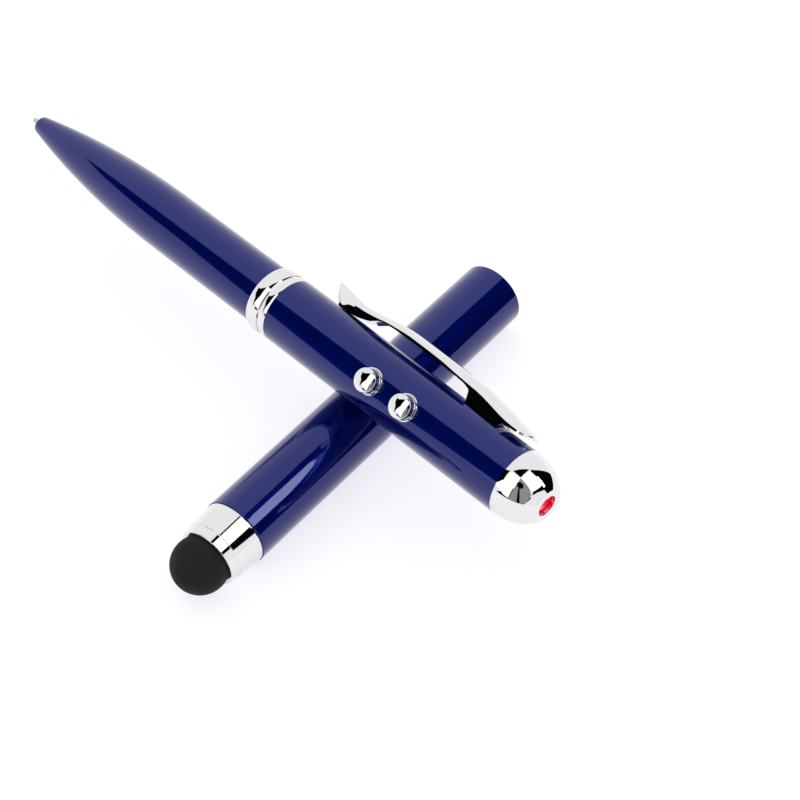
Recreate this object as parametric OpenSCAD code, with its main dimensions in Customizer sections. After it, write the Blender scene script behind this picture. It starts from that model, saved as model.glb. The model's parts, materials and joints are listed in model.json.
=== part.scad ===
// Ballpoint pen with a laser pointer and a torch in its rear end, and a cap that ends in a touch-screen
// stylus. The cap is off and lies on the table, and the pen lies level across it.
// All sizes are in millimetres. The pen's axis runs along X, with the laser end towards +X.

/* [Rear barrel] */
// Outside diameter of the rear barrel
barrel_d = 11.5; // [11:0.1:14]
// Length of the rear barrel, from the centre ring to the head
barrel_len = 51.2; // [50:0.1:65]
// Wall of both barrels
barrel_wall = 0.5; // [0.4:0.05:0.6]

/* [Front barrel] */
// Outside diameter of the front barrel's straight stretch
front_d = 10.6; // [8.8:0.1:11]
// Length of the front barrel, from its nose to the centre ring
front_len = 62.7; // [54:0.1:76]
// Length of the ogive nose
nose_len = 36; // [30:0.5:40]
// Diameter that the ogive would have at its end, before the edge is rounded
nose_d = 3.16; // [3:0.02:4]
// Radius of the rounded nose edge
nose_edge = 0.8; // [0.4:0.05:0.9]
// Diameter of the hole that the refill's tip comes out of
nose_hole_d = 1.6; // [1.5:0.05:1.8]

/* [Centre ring] */
// Length of the ring
ring_len = 4.3; // [3.5:0.1:6]
// How far the front band stands proud of the rear barrel
ring_proud = 0.2; // [0.1:0.05:0.4]
// How far the rear band stands proud of the rear barrel
ring_rear_proud = 0.08; // [0.02:0.02:0.1]
// Length of the rear band
ring_rear_len = 1.45; // [1:0.05:1.8]
// Width of the groove between the bands
ring_groove_w = 0.35; // [0.2:0.05:0.5]
// Depth of the groove
ring_groove_depth = 0.3; // [0.15:0.05:0.5]
// Crown of the front band
ring_crown = 0.22; // [0.1:0.02:0.4]
// Crown of the rear band
ring_rear_crown = 0.1; // [0.04:0.02:0.2]

/* [Thread] */
// Length of the thread that holds the two halves together
thread_len = 5; // [4:0.25:5.5]
// Step from the coupling's press fit down to the thread
thread_step = 0.25; // [0.15:0.05:0.4]
// Length of the coupling's press fit in the front barrel
coupling_fit_len = 9; // [6:0.5:12]

/* [Head] */
// Straight band of the head, between the barrel and the dome
head_band = 1.6; // [0.5:0.1:3]
// Wall of the head
head_wall = 0.6; // [0.4:0.05:0.8]
// Diameter of the flat face that cuts off the dome
face_d = 6; // [5:0.1:6.4]
// Diameter of the opening in the flat face
aperture_d = 3.6; // [3.2:0.1:4.5]
// Length of the skirt that the barrel takes in
head_skirt = 4.8; // [3:0.2:5.2]
// Thickness of the window
window_t = 0.7; // [0.4:0.1:1]

/* [Laser and torch] */
// Diameter of the laser module
laser_d = 3.6; // [3.2:0.1:3.8]
// Length of the laser module
laser_len = 10.5; // [8:0.5:11]
// Distance of the laser beam from the pen's axis
laser_offset = 1; // [0.9:0.05:1.1]
// Diameter of the beam's hole
beam_d = 1.4; // [1:0.1:1.5]
// Diameter of the torch lamp
led_d = 1.8; // [1.6:0.1:1.9]
// Distance of the torch lamp from the pen's axis
led_offset = 0.95; // [0.9:0.05:1.1]
// Length of the torch lamp
led_len = 3.7; // [3:0.1:4]
// Diameter of the lead wires
lead_d = 0.3; // [0.2:0.05:0.4]

/* [Buttons] */
// Diameter of a button
button_d = 4; // [3.4:0.1:4.8]
// Height of a button above the barrel
button_h = 2; // [1.2:0.1:3]
// Height of the dome on a button
button_dome = 0.5; // [0.3:0.05:1.1]
// Distance between the two buttons
button_pitch = 7.7; // [7:0.1:8.5]
// Distance of the first button from the centre ring
button_from_ring = 23.35; // [23.3:0.05:25]
// Turn of the buttons about the pen's axis, from straight up towards the front
button_roll = 44; // [0:1:80]
// Travel of a button
button_travel = 0.6; // [0.3:0.05:0.7]
// Thickness of the rim round a button
rim_wall = 0.2; // [0.2:0.05:0.4]
// Height of the rim above the barrel
rim_h = 0.12; // [0.1:0.02:0.4]

/* [Switches] */
// Side of a switch body
switch_w = 4; // [3.4:0.1:4.2]
// Height of a switch body
switch_h = 1.5; // [1.3:0.1:1.8]
// Diameter of a switch plunger
plunger_d = 1.6; // [1.2:0.1:2]
// Thickness of the circuit board
board_t = 0.8; // [0.6:0.1:1]
// Length of the circuit board
board_len = 15.4; // [15:0.2:16]
// Height of the board's top above the pen's axis
board_top = -0.3; // [-0.5:0.05:-0.2]

/* [Cells] */
// Diameter of a cell
cell_d = 7.9; // [6.6:0.1:9.2]
// Height of a cell
cell_h = 3.6; // [3:0.1:3.7]
// Number of cells
cell_count = 3; // [2:1:3]
// Length of the battery spring
spring_len = 3.9; // [3.4:0.1:4]
// Turns of the battery spring
spring_turns = 3; // [2:0.5:3]
// Diameter of the spring wire
spring_wire = 0.4; // [0.3:0.05:0.45]
// Outside diameter of the spring where it meets the cells
spring_d = 5.6; // [4.5:0.1:6]

/* [Refill] */
// How far the refill's tail reaches into the coupling behind the front barrel
refill_tail = 2.3; // [1:0.1:3]
// Diameter of the refill
refill_d = 2.35; // [2.2:0.05:2.4]
// How far the refill stands out of the nose
refill_out = 2; // [1.5:0.1:2.5]
// Diameter of the ball
ball_d = 0.7; // [0.5:0.05:0.8]

/* [Clip] */
// Length of the clip
clip_len = 44.4; // [37:0.1:48]
// Gap between the clip's end and the head
clip_from_head = 1.2; // [0.4:0.1:4]
// Turn of the clip about the pen's axis, from straight up towards the back
clip_roll = 52.6; // [40:0.2:90]
// Distance of the foot from the clip's end
clip_foot_from = 5.6; // [5:0.1:7]
// Length of the foot
clip_foot_len = 6.7; // [5:0.1:8]
// Height of the clip's crest over the barrel at the belly
clip_belly_h = 3.75; // [3.4:0.05:4.5]
// Height of the crest where it dips before the tip
clip_dip_h = 2.58; // [2.3:0.02:2.8]
// Height of the flared tip
clip_tip_h = 3.4; // [3:0.1:4]
// Height of the arch under the belly
clip_arch_h = 2.45; // [2.2:0.05:2.6]
// Half the clip's width at the foot
clip_foot_w = 2.85; // [2.2:0.05:3.2]
// Half the clip's width at the heel
clip_heel_w = 1.4; // [1.2:0.05:2]
// Diameter of the stud that holds the clip
stud_d = 2; // [1.6:0.1:2.4]
// Angle that the clip can be lifted by
clip_lift = 3; // [2:0.5:4]

/* [Cap] */
// Wall of the cap tube
cap_wall = 0.525; // [0.4:0.025:0.7]
// Room beyond the pen's nose inside the cap, when the cap is on
cap_room = 4.7; // [4.6:0.05:8]
// Length of the collar's wide band
collar_band = 4.9; // [3:0.05:5.5]
// Length of the collar's lip
collar_lip = 1.7; // [1.6:0.05:2]
// Diameter of the collar next to the tube
collar_d = 11.5; // [11:0.05:11.7]
// Diameter of the collar's band at the lip
collar_band_d = 10.95; // [10.8:0.05:11.2]
// Step from the band down to the lip
lip_step = 0.1; // [0.05:0.05:0.2]
// Diameter of the lip at its end
lip_d = 10.35; // [10.2:0.05:10.5]

/* [Stylus] */
// Diameter of the rubber dome
stylus_d = 9.5; // [9.2:0.05:9.8]
// Wall of the rubber dome
stylus_wall = 0.9; // [0.6:0.05:1.2]
// How far the dome's centre stands out of the collar
stylus_out = 1.55; // [1:0.05:2]

/* [Lie] */
// Angle from the pen's axis to the cap's axis, seen from above
cap_angle = 97.1; // [80:0.1:110]
// Where the pen crosses the cap, from the centre ring
cross_from_ring = 17.2; // [10:0.1:40]
// Where the pen crosses the cap, from the collar
cross_from_collar = 31.45; // [15:0.05:50]

/* [Clearances] */
// Gap of a press fit
fit_gap = 0.02; // [0.01:0.01:0.04]
// Gap of a fit that slides or turns
run_gap = 0.06; // [0.04:0.01:0.1]
// Gap between faces that only meet
face_gap = 0.05; // [0.03:0.01:0.1]
// Gap under the clip's foot and heel
clip_gap = 0.12; // [0.08:0.02:0.2]
// Gap between the pen and the cap that it lies on
rest_gap = 0.12; // [0.05:0.01:0.3]

/* [Hidden] */
$fn = 96;
eps = 0.01;

// Radii of the barrels and what fits in them
barrel_r = barrel_d / 2;
bore_r = barrel_r - barrel_wall;
front_r = front_d / 2;
front_bore_r = front_r - barrel_wall;
bush_wall = 0.45;
coupling_r = front_bore_r - fit_gap;
thread_r = min(coupling_r - thread_step, bore_r - bush_wall - run_gap);
inner_r = bore_r - fit_gap;

// Stations along the pen, measured from the nose
ring_at = front_len;
rear_at = ring_at + ring_len;
head_at = rear_at + barrel_len;
dome_at = head_at + head_band;
pen_end = dome_at + sqrt(barrel_r * barrel_r - face_d * face_d / 4);
thread_end = rear_at + thread_len;
plug_flange = 0.4;
plug_r = 2;
plug_len = 2.5;
spring_at = thread_end + plug_flange;
bush_past = 1.6;
bush_end = spring_at + bush_past;
cells_at = spring_at + spring_len + face_gap;
cell_step = cell_h + face_gap;
cells_end = cells_at + cell_count * cell_step;
contact_t = 0.35;
contact_pin_r = 0.6;
carrier_at = cells_end + contact_t;
carrier_wall = 0.4;
board_at = carrier_at + carrier_wall + face_gap;
board_end = board_at + board_len;
button_at = rear_at + button_from_ring;

// Ogive nose: an arc that is tangent to the straight stretch
nose_drop = front_r - nose_d / 2;
ogive_r = (nose_len * nose_len + nose_drop * nose_drop) / (2 * nose_drop);
ogive_x = front_r - ogive_r;
ogive_fn = 720;
edge_x = ogive_x + sqrt(pow(ogive_r - nose_edge, 2) - pow(nose_len - nose_edge, 2));
edge_end = nose_len - (nose_len - nose_edge) * ogive_r / (ogive_r - nose_edge);
refill_r = refill_d / 2;
guide_r = refill_r + run_gap;
nose_wall = 1;
guide_end = 5;
nose_bush_at = 8;
nose_bush_len = 8;

// Refill
ball_r = ball_d / 2;
ball_at = -refill_out + ball_r;
tube_at = 4;
tube_bore_r = 0.85;
tail_at = ring_at + refill_tail;
tip_stem = 3;
tip_lip = 0.07;
tip_mouth_r = ball_r + tip_lip;

// Heights in the buttons' direction, from the pen's axis
switch_top = board_top + switch_h;
plunger_out = 0.8;
well_floor = 0.1;
plunger_len = plunger_out + switch_h - well_floor - button_travel - face_gap;
stem_at = switch_top + plunger_out;
stem_d = 2.4;
flange_t = 0.6;
flange_ledge = 0.35;
flange_r = button_d / 2 + flange_ledge;
flange_top = sqrt(bore_r * bore_r - flange_r * flange_r) - face_gap;
button_top = barrel_r + button_h;
button_r = button_d / 2;
rim_in = button_r + run_gap;
rim_sleeve_wall = 0.14;
rim_sleeve = rim_in + rim_sleeve_wall;
rim_out = rim_in + rim_wall;

// Head
head_in_r = barrel_r - head_wall;
skirt_r = bore_r - fit_gap;
skirt_wall = 0.55;
skirt_in = skirt_r - skirt_wall;
block_r = skirt_in - fit_gap;
block_tail = 1.5;
block_at = head_at - head_skirt - block_tail;
nose_block_r = 2.8;
block_clear = 0.2;
face_in = pen_end - head_wall;
block_front = min(face_in, dome_at + sqrt(head_in_r * head_in_r - nose_block_r * nose_block_r)) - block_clear;
window_lip = 0.45;
window_r = nose_block_r - window_lip;
window_at = block_front - window_t;
laser_setback = 0.8;
laser_end = head_at - laser_setback;
laser_at = laser_end - laser_len;
laser_wall = 0.3;
diode_inset = 0.5;
diode_at = laser_at + diode_inset;
led_ahead = 0.9;
led_at = laser_end + led_ahead;
lead_z = board_top + lead_d / 2 + fit_gap;
torch_lead_shift = 0.45;
torch_lead_y = led_offset + torch_lead_shift;

// Clip
clip_end = head_at - clip_from_head;
clip_tip = clip_end - clip_len;
foot_end = clip_foot_from + clip_foot_len;
stud_from = clip_foot_from + clip_foot_len / 2;
stud_at = clip_end - stud_from;
stud_ledge = 0.5;
stud_head_r = stud_d / 2 + stud_ledge;
stud_drop = (clip_foot_len / 2 + stud_head_r) * tan(clip_lift) + face_gap;
stud_in_clip = 1.2;
stud_top = barrel_r + stud_in_clip;
heel_from_tip = 2.9;
dip_from_tip = 6.4;

// Cap, measured along its own axis from the seam of tube and collar
cap_bore_r = front_r + run_gap;
cap_r = cap_bore_r + cap_wall;
cap_len = front_len + cap_room;
collar_len = collar_band + collar_lip;
spigot_len = 3;
stylus_r = stylus_d / 2;
stylus_at = -collar_len - stylus_out;
stylus_neck = sqrt(stylus_r * stylus_r - stylus_out * stylus_out);
pocket_len = 1.5;
liner_end = 26;
liner_gap = 0.15;
liner_step = 0.25;
liner_seat_r = cap_bore_r - liner_step;
relief_len = 1;
relief_depth = 0.2;
bore_from = liner_end + relief_len;
stylus_stem_r = 2.5;

// The origin is under the middle of the box round the whole object
cross_at = rear_at + cross_from_ring;
pen_z = 2 * cap_r + rest_gap + barrel_r;
nose_x = (refill_out - pen_end) / 2;
stylus_reach = (cross_from_collar - stylus_at) * sin(cap_angle) + stylus_r;
mouth_reach = (cap_len - cross_from_collar) * sin(cap_angle) + cap_r * abs(cos(cap_angle));
pen_y = (stylus_reach - mouth_reach) / 2;

lacquer = [0.05, 0.06, 0.36];
chrome = [0.86, 0.87, 0.88];
brass = [0.78, 0.62, 0.32];
plastic = [0.16, 0.16, 0.18];

// Frames
// Local z runs along the pen from the nose, for revolved pieces
module on_pen() {
    translate([nose_x, pen_y, pen_z])
        rotate([0, 90, 0])
            children();
}

// Local x runs along the pen from the nose, and local z points at the buttons
module at_buttons() {
    translate([nose_x, pen_y, pen_z])
        rotate([button_roll, 0, 0])
            children();
}

// Local x runs along the pen from the nose, and local z points at the clip
module at_clip() {
    translate([nose_x, pen_y, pen_z])
        rotate([-clip_roll, 0, 0])
            children();
}

// Local z runs along the cap from the collar's seam to the mouth
module on_cap() {
    translate([nose_x + cross_at, pen_y, cap_r])
        rotate([0, 0, cap_angle])
            translate([-cross_from_collar, 0, 0])
                rotate([0, 90, 0])
                    children();
}

// Ring between two radii, from one station to another
module tube(outer, inner, from, to) {
    rotate_extrude()
        translate([inner, from])
            square([outer - inner, to - from]);
}

// Round bar from one station to another
module bar(radius, from, to) {
    translate([0, 0, from])
        cylinder(r = radius, h = to - from);
}

// Bar along local x
module bar_x(radius, from, to) {
    translate([from, 0, 0])
        rotate([0, 90, 0])
            cylinder(r = radius, h = to - from);
}

// Half outline of the nose's ogive, shrunk by a wall, between two stations
module ogive(shrink, from, to) {
    intersection() {
        translate([ogive_x, nose_len])
            circle(r = ogive_r - shrink, $fn = ogive_fn);
        translate([0, from])
            square([front_r, min(to, nose_len) - from]);
    }
    if (to > nose_len)
        translate([0, nose_len - eps])
            square([front_r - shrink, to - nose_len + eps]);
}

// Rear half
module rear_barrel() {
    color(lacquer)
        difference() {
            on_pen()
                tube(barrel_r, bore_r, rear_at + face_gap, head_at);
            at_buttons()
                for (i = [0:1])
                    translate([button_at + i * button_pitch, 0, 0])
                        cylinder(r = rim_sleeve + fit_gap, h = button_top);
            at_clip()
                translate([stud_at, 0, 0])
                    cylinder(r = stud_d / 2 + 2 * clip_gap, h = button_top);
        }
}

module thread_bush() {
    color(brass)
        on_pen()
            tube(inner_r, thread_r + run_gap, rear_at + face_gap, bush_end);
}

module battery_sleeve() {
    color(plastic)
        on_pen()
            tube(inner_r, cell_d / 2 + run_gap, bush_end + face_gap, cells_end);
}

// Each cell is a can with a smaller, shallow cap
module battery_cells() {
    cap_h = 0.4;
    cap_inset = 0.9;
    color("silver")
        on_pen()
            for (i = [0:cell_count - 1])
                translate([0, 0, cells_at + i * cell_step]) {
                    cylinder(r = cell_d / 2 - cap_inset, h = cell_h);
                    translate([0, 0, cap_h])
                        cylinder(r = cell_d / 2, h = cell_h - cap_h);
                }
}

module rear_contact() {
    disc_r = cell_d / 2 - 1;
    color(brass)
        at_buttons() {
            bar_x(disc_r, cells_end, carrier_at);
            bar_x(contact_pin_r, carrier_at - eps, carrier_at + carrier_wall);
        }
}

// Half-round carrier with a low wall at the cells
module board_carrier() {
    wall_top = 1.6;
    span = 2 * barrel_r;
    color(plastic)
        at_buttons()
            difference() {
                bar_x(inner_r, carrier_at, board_end + face_gap);
                translate([carrier_at + carrier_wall, -barrel_r, board_top - board_t])
                    cube([board_len + span, span, span]);
                translate([carrier_at - eps, -barrel_r, wall_top])
                    cube([board_len + span, span, span]);
                bar_x(contact_pin_r + fit_gap, carrier_at - eps, carrier_at + carrier_wall + eps);
            }
}

module circuit_board() {
    side_gap = 0.2;
    board_w = 2 * (sqrt(inner_r * inner_r - pow(board_t - board_top, 2)) - side_gap);
    color("darkgreen")
        at_buttons()
            translate([board_at, -board_w / 2, board_top - board_t])
                cube([board_len - face_gap, board_w, board_t]);
}

module tact_switches() {
    color("dimgray")
        at_buttons()
            for (i = [0:1])
                translate([button_at + i * button_pitch, 0, board_top])
                    difference() {
                        translate([-switch_w / 2, -switch_w / 2, 0])
                            cube([switch_w, switch_w, switch_h]);
                        translate([0, 0, well_floor])
                            cylinder(r = plunger_d / 2 + run_gap, h = switch_h);
                    }
}

module plunger(i) {
    at_buttons()
        translate([button_at + i * button_pitch, 0, stem_at - plunger_len])
            cylinder(r = plunger_d / 2, h = plunger_len);
}

module laser_plunger() {
    color("black")
        plunger(0);
}

module torch_plunger() {
    color("black")
        plunger(1);
}

// Domed head on a straight skirt, a flange that stays inside the barrel and a stem on the switch
module button(i) {
    dome_r = (button_r * button_r + button_dome * button_dome) / (2 * button_dome);
    at_buttons()
        translate([button_at + i * button_pitch, 0, 0]) {
            bar(stem_d / 2, stem_at, flange_top);
            bar(flange_r, flange_top - flange_t, flange_top);
            intersection() {
                bar(button_r, flange_top - eps, button_top);
                translate([0, 0, button_top - dome_r])
                    sphere(r = dome_r, $fn = 192);
            }
        }
}

module laser_button() {
    color(chrome)
        button(0);
}

module torch_button() {
    color(chrome)
        button(1);
}

// Thin lip on the barrel, with a sleeve through its wall
module button_rims() {
    color(chrome)
        at_buttons()
            for (i = [0:1])
                translate([button_at + i * button_pitch, 0, 0])
                    difference() {
                        union() {
                            difference() {
                                bar(rim_out, bore_r - 1, barrel_r + rim_h);
                                bar_x(barrel_r + fit_gap, -rim_out - 1, rim_out + 1);
                            }
                            difference() {
                                bar(rim_sleeve, bore_r - 1, barrel_r + rim_h / 2);
                                bar_x(bore_r + fit_gap, -rim_out - 1, rim_out + 1);
                            }
                        }
                        cylinder(r = rim_in, h = button_top);
                    }
}

// Laser and torch
module on_beam() {
    at_buttons()
        translate([0, -laser_offset, 0])
            children();
}

module on_torch() {
    at_buttons()
        translate([0, led_offset, 0])
            children();
}

module laser_module() {
    color(brass)
        on_beam()
            difference() {
                bar_x(laser_d / 2, laser_at, laser_end);
                bar_x(laser_d / 2 - laser_wall, laser_at - eps, laser_end - laser_wall);
                bar_x(beam_d / 2, laser_at, laser_end + eps);
            }
}

// Stepped can: a flange at the rear and a narrower can towards the lens
module laser_diode() {
    flange_len = 1;
    can_len = 1.4;
    can_inset = 0.35;
    color("silver")
        on_beam() {
            bar_x(laser_d / 2 - laser_wall - fit_gap, diode_at, diode_at + flange_len);
            bar_x(laser_d / 2 - laser_wall - can_inset, diode_at + flange_len - eps,
                diode_at + flange_len + can_len);
        }
}

// Plano-convex lens, with its crown towards the opening
module laser_lens() {
    lens_r = laser_d / 2 - laser_wall - fit_gap;
    lens_rim = 0.8;
    lens_crown = 0.5;
    crown_r = (lens_r * lens_r + lens_crown * lens_crown) / (2 * lens_crown);
    lens_at = laser_end - laser_wall - lens_rim - lens_crown - face_gap;
    color("lightcyan")
        on_beam()
            intersection() {
                bar_x(lens_r, lens_at, lens_at + lens_rim + lens_crown);
                translate([lens_at + lens_rim + lens_crown - crown_r, 0, 0])
                    sphere(r = crown_r, $fn = 192);
            }
}

// Two wires that lie on the board, side by side about a middle line
module lead_pair(middle, spread, to) {
    lap = 1.5;
    from = board_end - lap;
    at_buttons()
        for (side = [-1, 1])
            translate([0, middle + side * spread, lead_z])
                bar_x(lead_d / 2, from, to);
}

module laser_leads() {
    color("firebrick")
        lead_pair(-laser_offset, 0.6, diode_at);
}

module torch_leads() {
    color("gold")
        lead_pair(torch_lead_y, 0.25, led_at);
}

module torch_led() {
    led_r = led_d / 2;
    color("ivory")
        on_torch() {
            bar_x(led_r, led_at, led_at + led_len - led_r);
            translate([led_at + led_len - led_r, 0, 0])
                sphere(r = led_r);
        }
}

// Block with a bore for the laser from the rear, a pocket for the lamp and a seat for the window
module head_block() {
    lead_slot = 2 * lead_d;
    color(plastic)
        difference() {
            on_pen() {
                bar(block_r, block_at, head_at);
                bar(nose_block_r, head_at - eps, block_front);
            }
            on_beam() {
                bar_x(laser_d / 2 + fit_gap, block_at - eps, laser_end);
                bar_x(beam_d / 2, laser_end - eps, block_front + eps);
            }
            on_torch()
                bar_x(led_d / 2 + fit_gap, led_at, block_front + eps);
            at_buttons()
                translate([block_at - eps, torch_lead_y - lead_slot, lead_z - lead_d])
                    cube([led_at - block_at + 2 * eps, 2 * lead_slot, 2 * lead_d]);
            on_pen()
                bar(window_r + fit_gap, window_at, block_front + eps);
        }
}

module head_window() {
    color([0.9, 0.95, 1, 0.4])
        on_pen()
            bar(window_r, window_at + fit_gap, block_front);
}

// Dome with a flat face, on a straight band with a skirt inside the barrel
module head_dome() {
    color(chrome)
        on_pen()
            difference() {
                union() {
                    intersection() {
                        translate([0, 0, dome_at])
                            sphere(r = barrel_r, $fn = 192);
                        bar(barrel_r + 1, dome_at - eps, pen_end);
                    }
                    bar(barrel_r, head_at + eps, dome_at);
                    bar(skirt_r, head_at - head_skirt, dome_at);
                }
                bar(skirt_in, head_at - head_skirt - eps, dome_at + eps);
                intersection() {
                    translate([0, 0, dome_at])
                        sphere(r = head_in_r, $fn = 192);
                    bar(barrel_r, dome_at, face_in);
                }
                bar(aperture_d / 2, dome_at, pen_end + 1);
            }
}

// Smooth curve through a few stations: a cubic between neighbours that never swings past either of them
function chord(p, i) = (p[i + 1][1] - p[i][1]) / (p[i + 1][0] - p[i][0]);
function inner_slope(a, b) = a * b <= 0 ? 0 : 2 * a * b / (a + b);
function slope(p, i) =
    i == 0 ? (3 * chord(p, 0) - slope(p, 1)) / 2 :
    i == len(p) - 1 ? (3 * chord(p, i - 1) - slope(p, i - 1)) / 2 :
    inner_slope(chord(p, i - 1), chord(p, i));
function span_of(p, x, i = 0) = i >= len(p) - 2 || x <= p[i + 1][0] ? i : span_of(p, x, i + 1);
function cubic(y0, m0, y1, m1, h, t) =
    y0 * (1 + 2 * t) * (1 - t) * (1 - t) + h * m0 * t * (1 - t) * (1 - t)
    + y1 * t * t * (3 - 2 * t) - h * m1 * t * t * (1 - t);
function curve(p, x) =
    let (
        i = span_of(p, x),
        h = p[i + 1][0] - p[i][0],
        t = min(1, max(0, (x - p[i][0]) / h))
    )
    cubic(p[i][1], slope(p, i), p[i + 1][1], slope(p, i + 1), h, t);

// Rounding of an end: 0 at the very end, 1 from the given length on
function rounded(x, length) = x >= length ? 1 : sqrt(max(0, 1 - pow((length - x) / length, 2)));

// Stations of the clip, by distance from its end next to the head
heel_from = clip_len - heel_from_tip;
dip_from = clip_len - dip_from_tip;
belly_from = (foot_end + heel_from) / 2;
clip_crest = [
    [0, 1.75], [clip_foot_from, 2.65], [foot_end, clip_belly_h - 0.25], [belly_from, clip_belly_h],
    [(2 * belly_from + dip_from) / 3, clip_belly_h - 0.25], [dip_from - 1.8, clip_dip_h + 0.14],
    [dip_from, clip_dip_h], [heel_from - 0.5, clip_dip_h + 0.24], [clip_len, clip_tip_h]
];
clip_under = [
    [0, 1], [2, 1.2], [clip_foot_from - 0.6, 1], [clip_foot_from, clip_gap], [foot_end, clip_gap],
    [foot_end + 1, clip_arch_h - 0.55], [foot_end + 2.9, clip_arch_h - 0.17], [belly_from, clip_arch_h],
    [(belly_from + heel_from) / 2 - 4, clip_arch_h - 0.02], [heel_from - 8, clip_arch_h - 0.35],
    [heel_from - 6, clip_arch_h - 1.4], [heel_from - 3, clip_gap + 0.2], [heel_from - 0.8, clip_gap],
    [heel_from, clip_gap], [clip_len, clip_tip_h - 0.5]
];
clip_half = [
    [0, clip_foot_w], [clip_foot_from, clip_foot_w], [foot_end, clip_foot_w - 0.4],
    [belly_from, (clip_foot_w + clip_heel_w) / 2 - 0.3], [heel_from, clip_heel_w], [clip_len, clip_heel_w]
];
clip_crown = [
    [0, 0.7], [clip_foot_from, 1.5], [foot_end, 1.4], [foot_end + 4.5, 1.25], [foot_end + 8, 1.05],
    [belly_from, 0.98], [dip_from, 0.9], [heel_from - 1.3, 1.35], [heel_from, 2.4], [clip_len, 0.6]
];
clip_side = [[0, 0.3], [heel_from - 2, 0.3], [heel_from, 0.15], [clip_len, 0.15]];
end_round = 2.4;
end_drop = 0.45;
tip_round = 0.8;
tip_blunt = 0.35;
section_steps = 8;

function clip_width(x) =
    max(0.12, curve(clip_half, x) * rounded(x, end_round) * rounded(clip_len + tip_blunt - x, tip_round));
function clip_floor(x, y) = sqrt(pow(barrel_r + curve(clip_under, x), 2) - y * y);
function clip_roof(x, y) =
    let (
        w = clip_width(x),
        crest = barrel_r + curve(clip_crest, x) - end_drop * (1 - rounded(x, end_round)),
        edge = crest - curve(clip_crown, x) * rounded(x, end_round)
    )
    max(edge + (crest - edge) * (1 - pow(y / w, 2)), clip_floor(x, y) + curve(clip_side, x));
function clip_section(x) =
    let (w = clip_width(x))
    concat(
        [for (j = [0:section_steps]) let (y = w * (2 * j / section_steps - 1)) [x, y, clip_roof(x, y)]],
        [for (j = [0:section_steps]) let (y = w * (1 - 2 * j / section_steps)) [x, y, clip_floor(x, y)]]
    );
function steps(from, to, step) =
    let (n = ceil((to - from) / step))
    [for (i = [0:n - 1]) from + (to - from) * i / n];
clip_stations = concat(
    steps(0, end_round, 0.3), steps(end_round, clip_foot_from - 0.6, 0.7),
    steps(clip_foot_from - 0.6, clip_foot_from, 0.2), steps(clip_foot_from, foot_end, 0.8),
    steps(foot_end, foot_end + 4.5, 0.35), steps(foot_end + 4.5, heel_from - 9, 1.6),
    steps(heel_from - 9, heel_from - 1.5, 0.7), steps(heel_from - 1.5, clip_len, 0.3), [clip_len]
);

// Skin through sections that all have the same number of points, with flat ends
module loft(sections) {
    n = len(sections[0]);
    last = len(sections) - 1;
    points = [for (s = sections) for (p = s) p];
    sides = [
        for (i = [0:last - 1]) for (j = [0:n - 1])
            let (a = i * n + j, b = i * n + (j + 1) % n)
            each [[a, b, a + n], [b, b + n, a + n]]
    ];
    half = n / 2;
    ends = [
        for (k = [0, last]) for (j = [0:half - 2])
            let (a = k * n + j, b = a + 1, c = k * n + n - 2 - j, d = c + 1)
            each k == 0 ? [[a, d, b], [b, d, c]] : [[a, b, d], [b, c, d]]
    ];
    polyhedron(points = points, faces = concat(sides, ends), convexity = 6);
}

// Crowned bar that arches from the foot to a heel, and flares up at the tip
module clip() {
    color(chrome)
        at_clip()
            difference() {
                translate([clip_end, 0, 0])
                    mirror([1, 0, 0])
                        loft([for (x = clip_stations) clip_section(x)]);
                translate([stud_at, 0, 0])
                    bar(stud_d / 2 + fit_gap, barrel_r, stud_top + fit_gap);
            }
}

// Rivet in a blind hole of the clip, with its head inside the barrel
module clip_stud() {
    head_t = 0.5;
    head_top = sqrt(bore_r * bore_r - stud_head_r * stud_head_r) - stud_drop;
    color("silver")
        at_clip()
            translate([stud_at, 0, 0]) {
                bar(stud_d / 2, head_top - head_t, stud_top);
                bar(stud_head_r, head_top - head_t, head_top);
            }
}

// Front half
module front_barrel() {
    color(lacquer)
        on_pen()
            rotate_extrude()
                difference() {
                    union() {
                        ogive(0, edge_end, front_len - fit_gap);
                        translate([edge_x, nose_edge])
                            circle(r = nose_edge);
                        square([edge_x, edge_end + eps]);
                    }
                    translate([0, -1])
                        square([nose_hole_d / 2, guide_end]);
                    translate([0, nose_wall])
                        square([guide_r, guide_end]);
                    ogive(barrel_wall, guide_end, front_len + 1);
                }
}

module nose_bush() {
    color("white")
        on_pen()
            rotate_extrude()
                difference() {
                    ogive(barrel_wall + fit_gap, nose_bush_at, nose_bush_at + nose_bush_len);
                    translate([0, nose_bush_at - 1])
                        square([guide_r, nose_bush_len + 2]);
                }
}

// Press fit in the front barrel, a stretch under the ring and the thread, bored for the refill's tail
module front_coupling() {
    color(brass)
        on_pen()
            difference() {
                union() {
                    bar(coupling_r, ring_at - coupling_fit_len, rear_at);
                    bar(thread_r, rear_at - eps, thread_end);
                }
                bar(guide_r, ring_at - coupling_fit_len - eps, tail_at + face_gap);
                bar(plug_r, thread_end - plug_len - face_gap, thread_end + eps);
            }
}

// Half outline of a band with a crowned face, between two stations
module band(radius, crown, from, to) {
    half = (to - from) / 2;
    arc_r = (half * half + crown * crown) / (2 * crown);
    intersection() {
        translate([0, from])
            square([radius, to - from]);
        translate([radius - arc_r, from + half])
            circle(r = arc_r);
    }
}

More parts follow.
